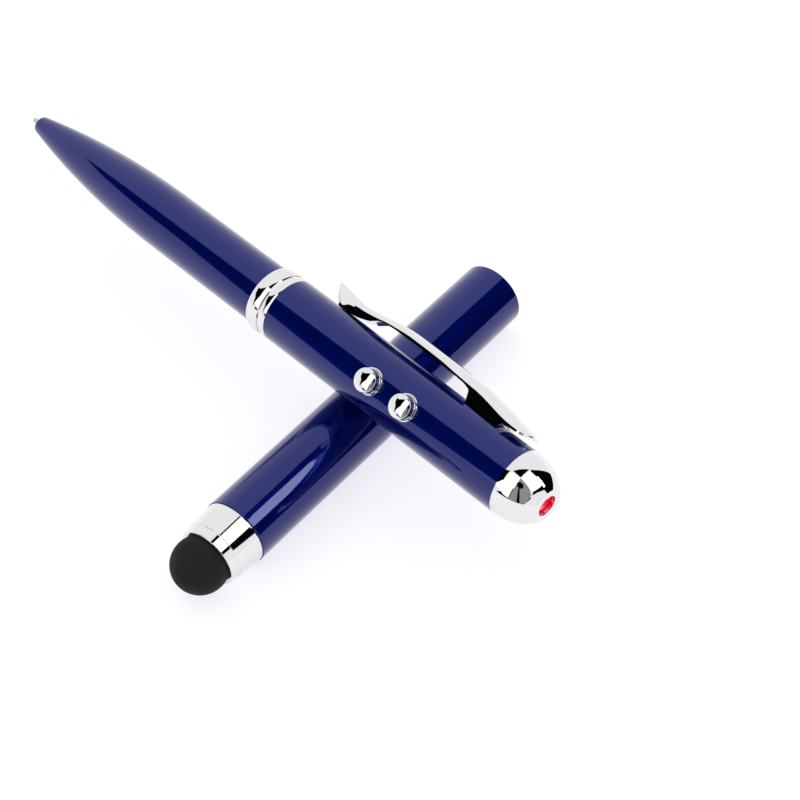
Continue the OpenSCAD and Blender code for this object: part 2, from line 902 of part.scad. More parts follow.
// Two crowned bands with a groove between them
module centre_ring() {
    rear_from = ring_len - ring_rear_len;
    rear_r = barrel_r + ring_rear_proud;
    color(chrome)
        on_pen()
            translate([0, 0, ring_at])
                rotate_extrude()
                    difference() {
                        union() {
                            band(barrel_r + ring_proud, ring_crown, 0, rear_from - ring_groove_w);
                            band(rear_r, ring_rear_crown, rear_from, ring_len);
                            square([rear_r - ring_groove_depth, ring_len]);
                        }
                        translate([0, -1])
                            square([coupling_r + fit_gap, ring_len + 2]);
                    }
}

module contact_plug() {
    plate_r = thread_r - 1;
    stub_r = 0.9;
    stub_len = 1;
    color(brass)
        on_pen() {
            bar(plug_r - fit_gap, thread_end - plug_len, spring_at);
            bar(plate_r, thread_end + fit_gap, spring_at);
            bar(stub_r, spring_at - eps, spring_at + stub_len);
        }
}

// Conical coil whose first turn stands on the plug and whose last turn meets the cells
spring_sides = 6;
spring_rings = 24;
spring_pitch = (spring_len - spring_wire) / spring_turns;
spring_r0 = 1.6;
spring_r1 = spring_d / 2 - spring_wire / 2;
function spring_mid(t) =
    let (r = spring_r0 + (spring_r1 - spring_r0) * t / spring_turns)
    [r * cos(360 * t), r * sin(360 * t), spring_at + spring_wire / 2 + spring_pitch * t];
function spring_ring(t) =
    let (m = spring_mid(t))
    [for (k = [0:spring_sides - 1])
        let (u = spring_wire / 2 * cos(360 * k / spring_sides), v = spring_wire / 2 * sin(360 * k / spring_sides))
        m + [u * cos(360 * t), u * sin(360 * t), v]];

// Least gap from one turn to the next, measured on the coil's middle line
spring_gap = min([
    for (i = [0:spring_turns * spring_rings])
        for (j = [i + floor(spring_rings / 2):spring_turns * spring_rings])
            norm(spring_mid(i / spring_rings) - spring_mid(j / spring_rings)) - spring_wire
]);
echo(spring_gap = spring_gap);

module battery_spring() {
    count = spring_turns * spring_rings;
    color("silver")
        on_pen()
            loft([for (i = [0:count]) spring_ring(i / spring_rings)]);
}

// Refill
module refill_tube() {
    color(brass)
        on_pen()
            tube(refill_r, tube_bore_r, tube_at, tail_at);
}

// Stem in the tube, a shoulder and a slim cone with the ball's socket
module refill_tip() {
    neck_gap = 0.12;
    neck_r = nose_hole_d / 2 - neck_gap;
    neck_len = 0.4;
    shoulder_at = nose_wall + 0.2;
    shoulder_len = 0.3;
    mouth_at = ball_at - ball_r / 3;
    color("silver")
        on_pen()
            difference() {
                rotate_extrude()
                    polygon([
                        [0, mouth_at], [tip_mouth_r, mouth_at], [neck_r, shoulder_at - neck_len],
                        [neck_r, shoulder_at], [refill_r, shoulder_at + shoulder_len], [refill_r, tube_at - fit_gap],
                        [tube_bore_r - fit_gap, tube_at - fit_gap], [tube_bore_r - fit_gap, tube_at + tip_stem],
                        [0, tube_at + tip_stem]
                    ]);
                translate([0, 0, ball_at])
                    sphere(r = ball_r + fit_gap);
                bar(ball_r / 2, ball_at, tube_at + tip_stem + 1);
            }
}

module refill_ball() {
    color("gray")
        on_pen()
            translate([0, 0, ball_at])
                sphere(r = ball_r);
}

// Cap
// Tube bored out for the pen from the mouth, with a run-out groove and a narrower seat for collar and liner
module cap_tube() {
    color(lacquer)
        on_cap() {
            tube(cap_r, liner_seat_r, fit_gap, liner_end);
            tube(cap_r, cap_bore_r + relief_depth, liner_end - eps, bore_from + eps);
            tube(cap_r, cap_bore_r, bore_from, cap_len);
        }
}

// Inner cap that follows the pen's nose
module cap_liner() {
    color("white")
        on_cap()
            rotate_extrude()
                difference() {
                    translate([0, spigot_len + face_gap])
                        square([liner_seat_r - fit_gap, liner_end - spigot_len - 2 * face_gap]);
                    translate([0, cap_room])
                        ogive(-liner_gap, 0, liner_end);
                    translate([0, -1])
                        square([nose_d / 2, cap_room + 2]);
                }
}

// Tapered band, a step down to a tapered lip, and a spigot in the tube
module cap_collar() {
    lip_in = stylus_neck + fit_gap;
    lip_out = collar_band_d / 2 - lip_step;
    c = 0.1;
    color(chrome)
        on_cap()
            rotate_extrude()
                polygon([
                    [stylus_stem_r, spigot_len], [liner_seat_r - fit_gap, spigot_len], [liner_seat_r - fit_gap, 0],
                    [collar_d / 2 - c, 0], [collar_d / 2, -c], [collar_band_d / 2, -collar_band],
                    [lip_out, -collar_band], [lip_d / 2, -collar_len + c], [lip_d / 2 - c, -collar_len],
                    [lip_in, -collar_len], [lip_in, -collar_len + pocket_len],
                    [stylus_stem_r, -collar_len + pocket_len]
                ]);
}

// Stem in the collar, with a rounded head inside the rubber
module stylus_plug() {
    head_r = stylus_r - stylus_wall - fit_gap;
    color("silver")
        on_cap() {
            bar(stylus_stem_r - fit_gap, stylus_at, spigot_len / 2);
            intersection() {
                translate([0, 0, stylus_at])
                    sphere(r = head_r);
                bar(head_r, stylus_at - 1, -collar_len + pocket_len - fit_gap);
            }
        }
}

// Hollow dome with a short neck that the collar's lip holds
module stylus_tip() {
    neck_end = -collar_len + pocket_len - fit_gap;
    color([0.15, 0.12, 0.13])
        on_cap()
            difference() {
                union() {
                    intersection() {
                        translate([0, 0, stylus_at])
                            sphere(r = stylus_r, $fn = 192);
                        bar(stylus_r + 1, stylus_at - stylus_r - 1, -collar_len);
                    }
                    bar(stylus_neck, -collar_len - eps, neck_end);
                }
                translate([0, 0, stylus_at])
                    sphere(r = stylus_r - stylus_wall, $fn = 192);
                bar(stylus_stem_r, stylus_at, neck_end + 1);
            }
}

rear_barrel();
thread_bush();
battery_sleeve();
battery_cells();
rear_contact();
board_carrier();
circuit_board();
tact_switches();
laser_plunger();
torch_plunger();
laser_button();
torch_button();
button_rims();
laser_module();
laser_diode();
laser_lens();
laser_leads();
torch_led();
torch_leads();
head_block();
head_window();
head_dome();
clip();
clip_stud();
front_barrel();
nose_bush();
front_coupling();
centre_ring();
contact_plug();
battery_spring();
refill_tube();
refill_tip();
refill_ball();
cap_tube();
cap_liner();
cap_collar();
stylus_plug();
stylus_tip();
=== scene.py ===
import json
import math

import bpy
import numpy as np
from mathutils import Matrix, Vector


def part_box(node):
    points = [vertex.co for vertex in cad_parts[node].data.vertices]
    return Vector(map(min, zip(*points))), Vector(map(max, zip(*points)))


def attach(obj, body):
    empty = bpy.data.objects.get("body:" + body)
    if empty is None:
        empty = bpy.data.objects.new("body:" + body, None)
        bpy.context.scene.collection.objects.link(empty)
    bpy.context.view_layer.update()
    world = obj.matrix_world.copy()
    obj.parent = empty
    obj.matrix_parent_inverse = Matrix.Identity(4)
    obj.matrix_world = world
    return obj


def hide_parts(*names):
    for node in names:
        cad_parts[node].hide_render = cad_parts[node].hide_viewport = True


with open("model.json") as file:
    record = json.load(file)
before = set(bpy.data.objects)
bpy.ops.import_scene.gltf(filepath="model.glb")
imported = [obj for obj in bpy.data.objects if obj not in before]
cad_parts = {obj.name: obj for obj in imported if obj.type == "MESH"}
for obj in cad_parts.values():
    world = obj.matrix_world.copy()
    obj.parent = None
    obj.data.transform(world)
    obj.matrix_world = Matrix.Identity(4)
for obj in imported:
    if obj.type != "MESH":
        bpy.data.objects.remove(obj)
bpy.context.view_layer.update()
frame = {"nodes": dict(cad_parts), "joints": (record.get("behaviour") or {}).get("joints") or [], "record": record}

# Sizes are in millimetres, read from the frame or repeated from the part's driving sizes
MM = 0.001
X = np.array([1.0, 0.0, 0.0])
joints = {j["name"]: j for j in frame["joints"]}
mounts = {m["name"]: m for m in frame["record"]["mounts"]}

# Gaps of pressed pieces and of faces, and the usual rounding of an edge
FIT_GAP, FACE_GAP, EDGE = 0.02, 0.05, 0.12
# Degrees by which an arc stops short of a pole or of the next arc
ARC_TRIM = 2.0


def node_points(node):
    """Vertices of a CAD node at rest, in millimetres."""
    mesh = frame["nodes"][node].data
    flat = np.empty(3 * len(mesh.vertices), np.float32)
    mesh.vertices.foreach_get("co", flat)
    return flat.reshape(-1, 3).astype(float) / MM


def reach(node, origin, axis):
    """Nearest and farthest station of a CAD node along an axis, and its largest radius round that axis."""
    offset = node_points(node) - origin
    station = offset @ axis
    radius = np.linalg.norm(offset - np.outer(station, axis), axis=1)
    return station.min(), station.max(), radius.max()


# The pen's axis starts at its nose
barrel_low, barrel_high = (np.array(corner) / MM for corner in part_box("rear_barrel"))
pen_mid = (barrel_low + barrel_high) / 2
PEN = np.array([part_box("front_barrel")[0].x / MM, pen_mid[1], pen_mid[2]])
rear_at, head_at, barrel_r = reach("rear_barrel", PEN, X)
_, ring_at, front_r = reach("front_barrel", PEN, X)
ring_from, ring_end, ring_r = reach("centre_ring", PEN, X)
skirt_at, pen_end, head_r = reach("head_dome", PEN, X)
barrel_wall = 0.5
bore_r = barrel_r - barrel_wall


def middle(node):
    """Station along the pen halfway between a CAD node's ends."""
    low, high, _ = reach(node, PEN, X)
    return (low + high) / 2


# Directions of the buttons, the clip and the cap come from their joints
button_up = -np.array(joints["laser_button_press"]["axis"])
clip_up = np.cross(X, joints["clip_flex"]["axis"])
cap_axis = -np.array(joints["cap_draw"]["axis"])
cap_mid = np.array(mounts["cap_mouth"]["pos_m"]) / MM
tube_from, tube_end, cap_r = reach("cap_tube", cap_mid, cap_axis)
CAP = cap_mid + tube_from * cap_axis
cap_len = tube_end - tube_from
cap_bore_r = mounts["cap_mouth"]["dims"]["r_mm"]


# Meshes
def add_piece(name, points, faces, material, body, nodes, slot, sharp=35):
    """Object from points and arrays of faces, in the place of some CAD nodes, smooth up to an angle. If the
    sum of a . (b x c) over its triangles, six times its volume, is negative, the faces are turned over."""
    fans = np.vstack([f[:, [0, k, k + 1]] for f in faces for k in range(1, f.shape[1] - 1)])
    a, b, c = (points[fans[:, k]] for k in range(3))
    if np.einsum("ij,ij->i", a, np.cross(b, c)).sum() < 0:
        faces = [f[:, ::-1] for f in faces]
    mesh = bpy.data.meshes.new(name)
    mesh.from_pydata((points * MM).tolist(), [], sum((f.tolist() for f in faces), []))
    mesh.shade_smooth()
    mesh.set_sharp_from_angle(angle=math.radians(sharp))
    mesh.materials.append(material)
    obj = bpy.data.objects.new(name, mesh)
    bpy.context.scene.collection.objects.link(obj)
    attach(obj, body)
    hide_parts(*nodes)


def unit(v, least=1e-12):
    """Vector, or rows of vectors, divided by their length."""
    return v / np.maximum(np.linalg.norm(v, axis=-1, keepdims=True), least)


def grid_faces(rows, columns, close_rows):
    """Quads of a grid that closes along its columns, and along its rows too if asked."""
    i = np.arange(rows if close_rows else rows - 1)[:, None]
    j = np.arange(columns)[None]
    a, b = i * columns + j, i * columns + (j + 1) % columns
    step = (i + 1) % rows * columns
    return np.stack([a, b, step + (j + 1) % columns, step + j], axis=-1).reshape(-1, 4)


def softened(corners, steps=5):
    """Outline from corners (radius, station, rounding). A rounded corner becomes an arc that is tangent to
    both its sides: its centre lies rounding / sin(half the angle) along the bisector. A point a little way
    along each side keeps the straight stretches shading straight."""
    table = np.array([(*c, 0.0)[:3] for c in corners])
    p, rounding = table[:, :2], table[:, 2:]
    back, ahead = (unit(np.roll(p, k, axis=0) - p) for k in (1, -1))
    sharpest = 0.001
    half = np.maximum(sharpest, np.arccos(np.clip((back * ahead).sum(axis=1, keepdims=True), -1, 1)) / 2)
    run = rounding / np.tan(half)
    centre = p + unit(back + ahead) * rounding / np.sin(half)
    turn = np.linspace(0, 1, steps + 1)[:, None]
    spokes = (1 - turn) * (p + run * back - centre)[:, None] + turn * (p + run * ahead - centre)[:, None]
    arcs = centre[:, None] + rounding[:, None] * unit(spokes)
    guard = run + rounding / 2
    rows = np.concatenate([(p + guard * back)[:, None], arcs, (p + guard * ahead)[:, None]], axis=1)
    keep = np.ones(rows.shape[:2], bool)
    keep[rounding[:, 0] == 0, 1:] = False
    return rows[keep]


def arc_points(centre_r, centre_u, radius, start, end, count, length=None):
    """Corners on an arc of the outline, at centre_r + radius * cos(t) and centre_u + radius * sin(t), with t
    in degrees. A length takes the radius's place along the axis, which makes an ellipse."""
    t = np.radians(np.linspace(start, end, count))
    along = radius if length is None else length
    return np.stack([centre_r + radius * np.cos(t), centre_u + along * np.sin(t)], axis=1).tolist()


def turned(outline, origin, axis, count):
    """Surface of revolution: at angle t, the outline's point at radius r and station u goes to
    origin + u * axis + r * (cos t * side + sin t * other). An outline that starts and ends on the axis closes
    in a pole at each end, and any other closes on itself."""
    not_an_axis = [0.3, 0.2, 0.9]
    side = unit(np.cross(axis, not_an_axis))
    other = np.cross(axis, side)
    t = np.linspace(0, 2 * np.pi, count, endpoint=False)
    ring = np.cos(t)[:, None] * side + np.sin(t)[:, None] * other
    spine = origin + outline[:, 1:] * axis
    grid = spine[:, None] + outline[:, 0, None, None] * ring
    if outline[0, 0] != 0 or outline[-1, 0] != 0:
        return grid.reshape(-1, 3), [grid_faces(len(outline), count, True)]
    rows = len(outline) - 2
    here = np.arange(count)
    following = np.roll(here, -1)
    last = (rows - 1) * count
    pole = np.full(count, rows * count)
    first_fan = np.stack([pole, following, here], axis=1)
    last_fan = np.stack([pole + 1, last + here, last + following], axis=1)
    points = np.vstack([grid[1:-1].reshape(-1, 3), spine[0], spine[-1]])
    return points, [grid_faces(rows, count, False), first_fan, last_fan]


def walled(outer, inner, quads):
    """Closed shell from an outer skin, the same skin moved inward, and a wall along every open edge."""
    count = len(outer)
    edges = np.vstack([quads[:, [k, (k + 1) % 4]] for k in range(4)])
    keys = edges[:, 0] * count + edges[:, 1]
    rim = edges[~np.isin(keys, edges[:, 1] * count + edges[:, 0])]
    rims = np.stack([rim[:, 1], rim[:, 0], rim[:, 0] + count, rim[:, 1] + count], axis=1)
    return np.vstack([outer, inner]), [quads, quads[:, ::-1] + count, rims]


def drilled_tube(outer_r, inner_r, start, end, holes, up, stations=13, columns=192, steps=16, rings=6):
    """Tube along the pen with round holes, each (station, angle from up, radius, half side of its square).
    The wall is a grid over station s and angle t: point = s * X + radius * (cos t * up + sin t * across).
    In a hole's square the grid gives way to rings, which run from the square's edge to the circle: with w
    from 0 to 1, a point is (1 - w) * edge + w * circle, in the plane of s and of the chord outer_r * sin(t).
    The inner skin's chord is shorter at the square, as its radius is, and the same at the circle."""
    clear = 1.1
    lines = np.linspace(-1, 1, steps + 1)
    s = np.linspace(start, end, stations)
    t = np.linspace(-np.pi, np.pi, columns, endpoint=False)
    for station, angle, _, half in holes:
        s = s[np.abs(s - station) > clear * half]
        t = t[np.abs(t - angle) > clear * math.asin(half / outer_r)]
    for station, angle, _, half in holes:
        s = np.append(s, station + half * lines)
        t = np.append(t, angle + np.arcsin(half * lines / outer_r))
    s, t = np.unique(s.round(6)), np.unique(t.round(6))
    quads = grid_faces(len(s), len(t), False)
    keep = np.ones(len(quads), bool)
    row, column = quads[:, 0] // len(t), quads[:, 0] % len(t)
    where = np.stack(np.meshgrid(s, t, indexing="ij"), axis=-1).reshape(-1, 2)
    outer, inner = [where], [where]
    made, extra = len(where), []
    for station, angle, radius, half in holes:
        turn = math.asin(half / outer_r)
        i0, i1 = (np.abs(s - station - half * k).argmin() for k in (-1, 1))
        j0, j1 = (np.abs(t - angle - turn * k).argmin() for k in (-1, 1))
        keep &= ~((row >= i0) & (row < i1) & (column >= j0) & (column < j1))
        i, j = np.arange(i0, i1), np.arange(j0, j1)
        sides = [i * len(t) + j0, i1 * len(t) + j, (i + 1)[::-1] * len(t) + j1, i0 * len(t) + (j + 1)[::-1]]
        loop = np.concatenate(sides)
        edge = np.stack([where[loop, 0] - station, outer_r * np.sin(where[loop, 1] - angle)], axis=1)
        circle = radius * unit(edge)
        w = np.linspace(0, 1, rings + 1)[1:, None, None]
        flat = (1 - w) * edge + w * circle
        along, chord = station + flat[..., 0], flat[..., 1]
        narrow = 1 - (1 - w[..., 0]) * (1 - inner_r / outer_r)
        outer.append(np.stack([along, angle + np.arcsin(chord / outer_r)], axis=-1).reshape(-1, 2))
        inner.append(np.stack([along, angle + np.arcsin(narrow * chord / inner_r)], axis=-1).reshape(-1, 2))
        ids = np.vstack([loop, made + np.arange(rings * len(loop)).reshape(rings, -1)])
        following = np.roll(ids, -1, axis=1)
        extra.append(np.stack([ids[:-1], ids[1:], following[1:], following[:-1]], axis=-1).reshape(-1, 4))
        made += rings * len(loop)
    across = np.cross(X, up)

    def place(rows, radius):
        st = np.vstack(rows)
        return PEN + st[:, :1] * X + radius * (np.cos(st[:, 1:]) * up + np.sin(st[:, 1:]) * across)

    return walled(place(outer, outer_r), place(inner, inner_r), np.vstack([quads[keep], *extra]))


def saddle(outline, station, up, count=128):
    """Ring that sits on the barrel: at angle t round the button's axis, an outline point at radius r and
    lift h goes to r * cos t along the pen, r * sin t across it and sqrt(barrel_r^2 - (r * sin t)^2) + h from
    the pen's axis."""
    t = np.linspace(0, 2 * np.pi, count, endpoint=False)
    r, h = outline[:, :1], outline[:, 1:]
    along, aside = r * np.cos(t), r * np.sin(t)
    height = np.sqrt(barrel_r**2 - aside**2) + h
    points = along[..., None] * X + aside[..., None] * np.cross(up, X) + height[..., None] * up
    return (PEN + station * X + points).reshape(-1, 3), grid_faces(len(outline), count, True)


# Materials
def colour(code):
    """Linear colour of an sRGB hex code."""
    value = np.array([int(code[k : k + 2], 16) for k in (1, 3, 5)]) / 255
    return (*np.where(value <= 0.04045, value / 12.92, ((value + 0.055) / 1.055) ** 2.4), 1.0)


def add_node(tree, kind, sockets=None, **settings):
    """Adds a node, with settings and input sockets; a socket given as an output of another node is linked."""
    node = tree.nodes.new(kind)
    for key, value in settings.items():
        setattr(node, key, value)
    for key, value in (sockets or {}).items():
        if isinstance(value, bpy.types.NodeSocket):
            tree.links.new(value, node.inputs[key])
        else:
            node.inputs[key].default_value = value
    return node


def new_material(name, shader):
    """Material whose surface is the node that the shader function adds to its tree and returns."""
    material = bpy.data.materials.new(name)
    material.use_nodes = True
    tree = material.node_tree
    tree.nodes.clear()
    add_node(tree, "ShaderNodeOutputMaterial", {"Surface": shader(tree).outputs[0]})
    return material


# Width of a lacquer flake, which is really about 0.03 mm and is drawn wider so that it shows
FLAKE = 0.2
# Width of the patches in which a surface is a little duller or shinier
PATCH = 3.0
# Shares by which a flake's lightness and a patch's roughness vary
FLAKE_CHANGE, PATCH_CHANGE = 0.12, 0.15
# Middle range of a noise, which is stretched to the range that a finish asks for
NOISE_RANGE = {"From Min": 0.3, "From Max": 0.7}


def blue_lacquer(tree):
    """Metal flakes, each a little lighter or darker, under a clear coat that mirrors the studio."""
    place = add_node(tree, "ShaderNodeTexCoord").outputs["Object"]
    grain = {"Vector": place, "Scale": 1 / (FLAKE * MM), "Detail": 0.0}
    flakes = add_node(tree, "ShaderNodeTexNoise", grain).outputs["Fac"]
    ends = {"To Min": 1 - FLAKE_CHANGE, "To Max": 1 + FLAKE_CHANGE}
    light = add_node(tree, "ShaderNodeMapRange", {"Value": flakes, **NOISE_RANGE, **ends}).outputs["Result"]
    base = add_node(tree, "ShaderNodeHueSaturation", {"Color": colour("#001268"), "Value": light})
    sockets = {
        "Base Color": base.outputs["Color"],
        "Metallic": 0.6,
        "Roughness": 0.2,
        "Specular IOR Level": 0.0,
        "Coat Weight": 1.0,
        "Coat Roughness": 0.02,
        "Coat IOR": 1.46,
    }
    return add_node(tree, "ShaderNodeBsdfPrincipled", sockets)


def even_finish(code, roughness, metallic=0.0, relief=None, **extra):
    """Shader function for one colour, whose roughness varies a little from patch to patch; relief is the
    width and the depth of its fine bumps in millimetres."""

    def shader(tree):
        place = add_node(tree, "ShaderNodeTexCoord").outputs["Object"]
        grain = {"Vector": place, "Scale": 1 / (PATCH * MM), "Detail": 2.0}
        patches = add_node(tree, "ShaderNodeTexNoise", grain).outputs["Fac"]
        ends = {"To Min": roughness * (1 - PATCH_CHANGE), "To Max": roughness * (1 + PATCH_CHANGE)}
        dull = add_node(tree, "ShaderNodeMapRange", {"Value": patches, **NOISE_RANGE, **ends})
        sockets = {"Base Color": colour(code), "Metallic": metallic, "Roughness": dull.outputs["Result"]}
        if relief:
            width, depth = relief
            grain = {"Vector": place, "Scale": 1 / (width * MM), "Detail": 2.0}
            bumps = add_node(tree, "ShaderNodeTexNoise", grain).outputs["Fac"]
            height = {"Height": bumps, "Distance": depth * MM, "Strength": 1.0}
            sockets["Normal"] = add_node(tree, "ShaderNodeBump", height).outputs["Normal"]
        sockets.update({key.replace("_", " "): value for key, value in extra.items()})
        return add_node(tree, "ShaderNodeBsdfPrincipled", sockets)

    return shader


# Painted glow: emission that makes the red acrylic window shine, though no lamp lies behind it
painted_laser_glow = {"Emission_Color": colour("#E0002E"), "Emission_Strength": 0.45}
FINISHES = {
    # Metallic lacquer stoved on brass tube: deep blue, with a pale sheen where the coat mirrors white
    "lacquer": ("blue_lacquer_on_brass", blue_lacquer),
    # Chrome plate on polished metal: a clear mirror, faintly cool
    "chrome": ("chrome_plate", even_finish("#E6E6E8", 0.03, 1.0)),
    # Brass as it leaves the lathe: warm yellow with soft highlights
    "brass": ("turned_brass", even_finish("#C9A25A", 0.25, 1.0)),
    # Moulded ABS: black, with a dull gloss
    "black_plastic": ("black_abs", even_finish("#1E1E21", 0.5)),
    # Moulded polypropylene: a warm white, with a dull gloss
    "white_plastic": ("white_polypropylene", even_finish("#E4E4E0", 0.45)),
    # Drawn and turned steel: pale grey, with slightly blurred highlights
    "steel": ("bright_steel", even_finish("#C4C6C9", 0.2, 1.0)),
    # Glass-fibre board under solder resist: green, with a soft gloss
    "board": ("green_circuit_board", even_finish("#1C5A36", 0.4)),
    # Moulded and polished acrylic: glossy red, with a painted glow as though the laser lit it from behind
    "clear_plastic": ("red_acrylic", even_finish("#D4082C", 0.06, IOR=1.49, **painted_laser_glow)),
    # Cast epoxy of a lamp: milky, with a soft gloss
    "lamp": ("milky_epoxy", even_finish("#EDEBDC", 0.3)),
    # Extruded insulation of thin wire: dark red, with a dull gloss
    "wire": ("wire_insulation", even_finish("#7A1414", 0.5)),
    # Moulded soft rubber: black and dull, with a faint unevenness
    "rubber": ("black_rubber", even_finish("#1C1618", 0.7, relief=(0.35, 0.004), Specular_IOR_Level=0.2)),
}
MATERIALS = {slot: new_material(*finish) for slot, finish in FINISHES.items()}


# Rear barrel, with two button holes and the hole of the clip's stud
RIM_IN, RIM_SLEEVE, RIM_OUT, RIM_H, RIM_EDGE = 2.06, 2.2, 2.26, 0.06, 0.02
BUTTON_SQUARE, STUD_HOLE_R, STUD_SQUARE = 3.4, 1.24, 2.2
button_at = {name: middle(name) for name in ("laser_button", "torch_button")}
stud_turn = math.atan2(clip_up @ np.cross(X, button_up), clip_up @ button_up)
holes = [(station, 0.0, RIM_SLEEVE + FIT_GAP, BUTTON_SQUARE) for station in button_at.values()]
holes.append((middle("clip_stud"), stud_turn, STUD_HOLE_R, STUD_SQUARE))
add_piece(
    "rear_barrel_shell", *drilled_tube(barrel_r, bore_r, rear_at, head_at, holes, button_up),
    MATERIALS["lacquer"], "rear_barrel", ["rear_barrel"], "lacquer",
)

# Dome of half an ellipse, with its skirt in the barrel and the opening in its flat face
HEAD_BAND, HEAD_WALL, FACE_R, APERTURE_R, SKIRT_WALL, SEAM = 1.6, 0.6, 3.0, 1.8, 0.55, 0.01
# Degrees at which the dome's arc starts, and by which it stops short of the face's edge
DOME_FROM, DOME_SHORT = 0.23, 1.72
dome_at = head_at + HEAD_BAND
skirt_r = bore_r - FIT_GAP
skirt_in = skirt_r - SKIRT_WALL
dome_in = head_r - HEAD_WALL
face_in = pen_end - HEAD_WALL
face_turn = math.acos(FACE_R / head_r)
dome_len = (pen_end - head_at) / math.sin(face_turn)
face_in_turn = math.degrees(math.asin((face_in - dome_at) / dome_in))
head_outline = softened(
    [(skirt_r, head_at + SEAM), (head_r, head_at + SEAM)]
    + arc_points(0, head_at, head_r, DOME_FROM, math.degrees(face_turn) - DOME_SHORT, 72, dome_len)
    + [(FACE_R, pen_end, EDGE), (APERTURE_R, pen_end, EDGE / 2), (APERTURE_R, face_in)]
    + arc_points(0, dome_at, dome_in, face_in_turn, 0, 40)
    + [(skirt_in, dome_at), (skirt_in, skirt_at), (skirt_r, skirt_at)]
)
add_piece(
    "head_dome_shell", *turned(head_outline, PEN, X, 256),
    MATERIALS["chrome"], "rear_barrel", ["head_dome"], "chrome",
)

# Buttons, each on its own slide
BUTTON_R, BUTTON_DOME, STEM_R, FLANGE_T, BUTTON_TRIM = 2.0, 0.5, 1.2, 0.6, 3.0
dome_r = (BUTTON_R**2 + BUTTON_DOME**2) / (2 * BUTTON_DOME)
dome_half = math.degrees(math.asin(BUTTON_R / dome_r))
for name, station in button_at.items():
    foot, top, flange_r = reach(name, PEN + station * X, button_up)
    flange_top = math.sqrt(bore_r**2 - flange_r**2) - FACE_GAP
    flange_foot = flange_top - FLANGE_T
    button_outline = softened(
        [(0, foot), (STEM_R, foot), (STEM_R, flange_foot), (flange_r, flange_foot), (flange_r, flange_top)]
        + [(BUTTON_R, flange_top), (BUTTON_R, top - BUTTON_DOME, EDGE)]
        + arc_points(0, top - dome_r, dome_r, 90 + BUTTON_TRIM - dome_half, 90 - ARC_TRIM, 40)
        + [(0, top)]
    )
    add_piece(
        name + "_cap", *turned(button_outline, PEN + station * X, button_up, 160),
        MATERIALS["chrome"], name, [name], "chrome",
    )

# Rims round the buttons
rim_outline = softened(
    [(RIM_IN, -barrel_wall), (RIM_IN, RIM_H, RIM_EDGE), (RIM_OUT, RIM_H, RIM_EDGE), (RIM_OUT, FIT_GAP)]
    + [(RIM_SLEEVE, FIT_GAP), (RIM_SLEEVE, -barrel_wall)]
)
rims = [saddle(rim_outline, station, button_up) for station in button_at.values()]
rim_points = np.vstack([points for points, _ in rims])
rim_faces = [faces + k * len(rims[0][0]) for k, (_, faces) in enumerate(rims)]
add_piece(
    "button_rim_pair", rim_points, rim_faces, MATERIALS["chrome"], "rear_barrel", ["button_rims"], "chrome"
)

# Clip, whose tip narrows as it thins
CLIP_LEN, CLIP_LEAST_HALF = 44.4, 0.12
CLIP_END_ROUND, CLIP_END_DROP, CLIP_TIP_ROUND, CLIP_TIP_BLUNT = 2.4, 0.45, 0.8, 0.35
# Distances from the clip's end, with the heights of its crest and of its underside above the barrel
CLIP_CREST = [
    (0, 1.75), (5.6, 2.65), (12.3, 3.5), (26.9, 3.75), (30.6, 3.5), (36.2, 2.72), (38, 2.58), (41, 2.82),
    (44.4, 3.4),
]
CLIP_UNDER = [
    (0, 1), (2, 1.2), (5, 1), (5.6, 0.12), (12.3, 0.12), (13.3, 1.9), (15.2, 2.28), (26.9, 2.45),
    (30.2, 2.43), (33.5, 2.1), (35.5, 1.05), (38.5, 0.32), (40.7, 0.12), (41.5, 0.12), (44.4, 2.9),
]
# Distances with half its width, the drop from its crest to its sides, and the least height of those
CLIP_HALF = [(0, 2.85), (5.6, 2.85), (12.3, 2.45), (26.9, 1.825), (41.5, 1.4), (43, 1.15), (44.4, 0.8)]
CLIP_CROWN = [
    (0, 0.7), (5.6, 1.5), (12.3, 1.4), (16.8, 1.25), (20.3, 1.05), (26.9, 0.98), (38, 0.9), (40.2, 1.35),
    (41.5, 2.4), (43, 1.55), (44.4, 0.6),
]
CLIP_SIDE = [(0, 0.3), (39.5, 0.3), (41.5, 0.08), (44.4, 0.08)]


def curve(stations, x):
    """Cubic through a few stations that never swings past them: an inner slope is the harmonic mean of the
    chords on both sides, or 0 where they differ in sign."""
    at, value = np.array(stations, float).T
    chord = np.diff(value) / np.diff(at)
    a, b = chord[:-1], chord[1:]
    same = a * b > 0
    inner = np.where(same, 2 * a * b / np.where(same, a + b, 1), 0)
    slope = np.concatenate([[(3 * chord[0] - inner[0]) / 2], inner, [(3 * chord[-1] - inner[-1]) / 2]])
    i = np.clip(np.searchsorted(at, x, side="right") - 1, 0, len(chord) - 1)
    h = at[i + 1] - at[i]
    t = (x - at[i]) / h
    return (
        value[i] * (1 + 2 * t) * (1 - t) ** 2 + h * slope[i] * t * (1 - t) ** 2
        + value[i + 1] * t**2 * (3 - 2 * t) - h * slope[i + 1] * t**2 * (1 - t)
    )


def end_round(x, length):
    """0 at an end and 1 from the given length on, along a quarter of an ellipse."""
    return np.sqrt(1 - np.clip((length - x) / length, 0, 1) ** 2)


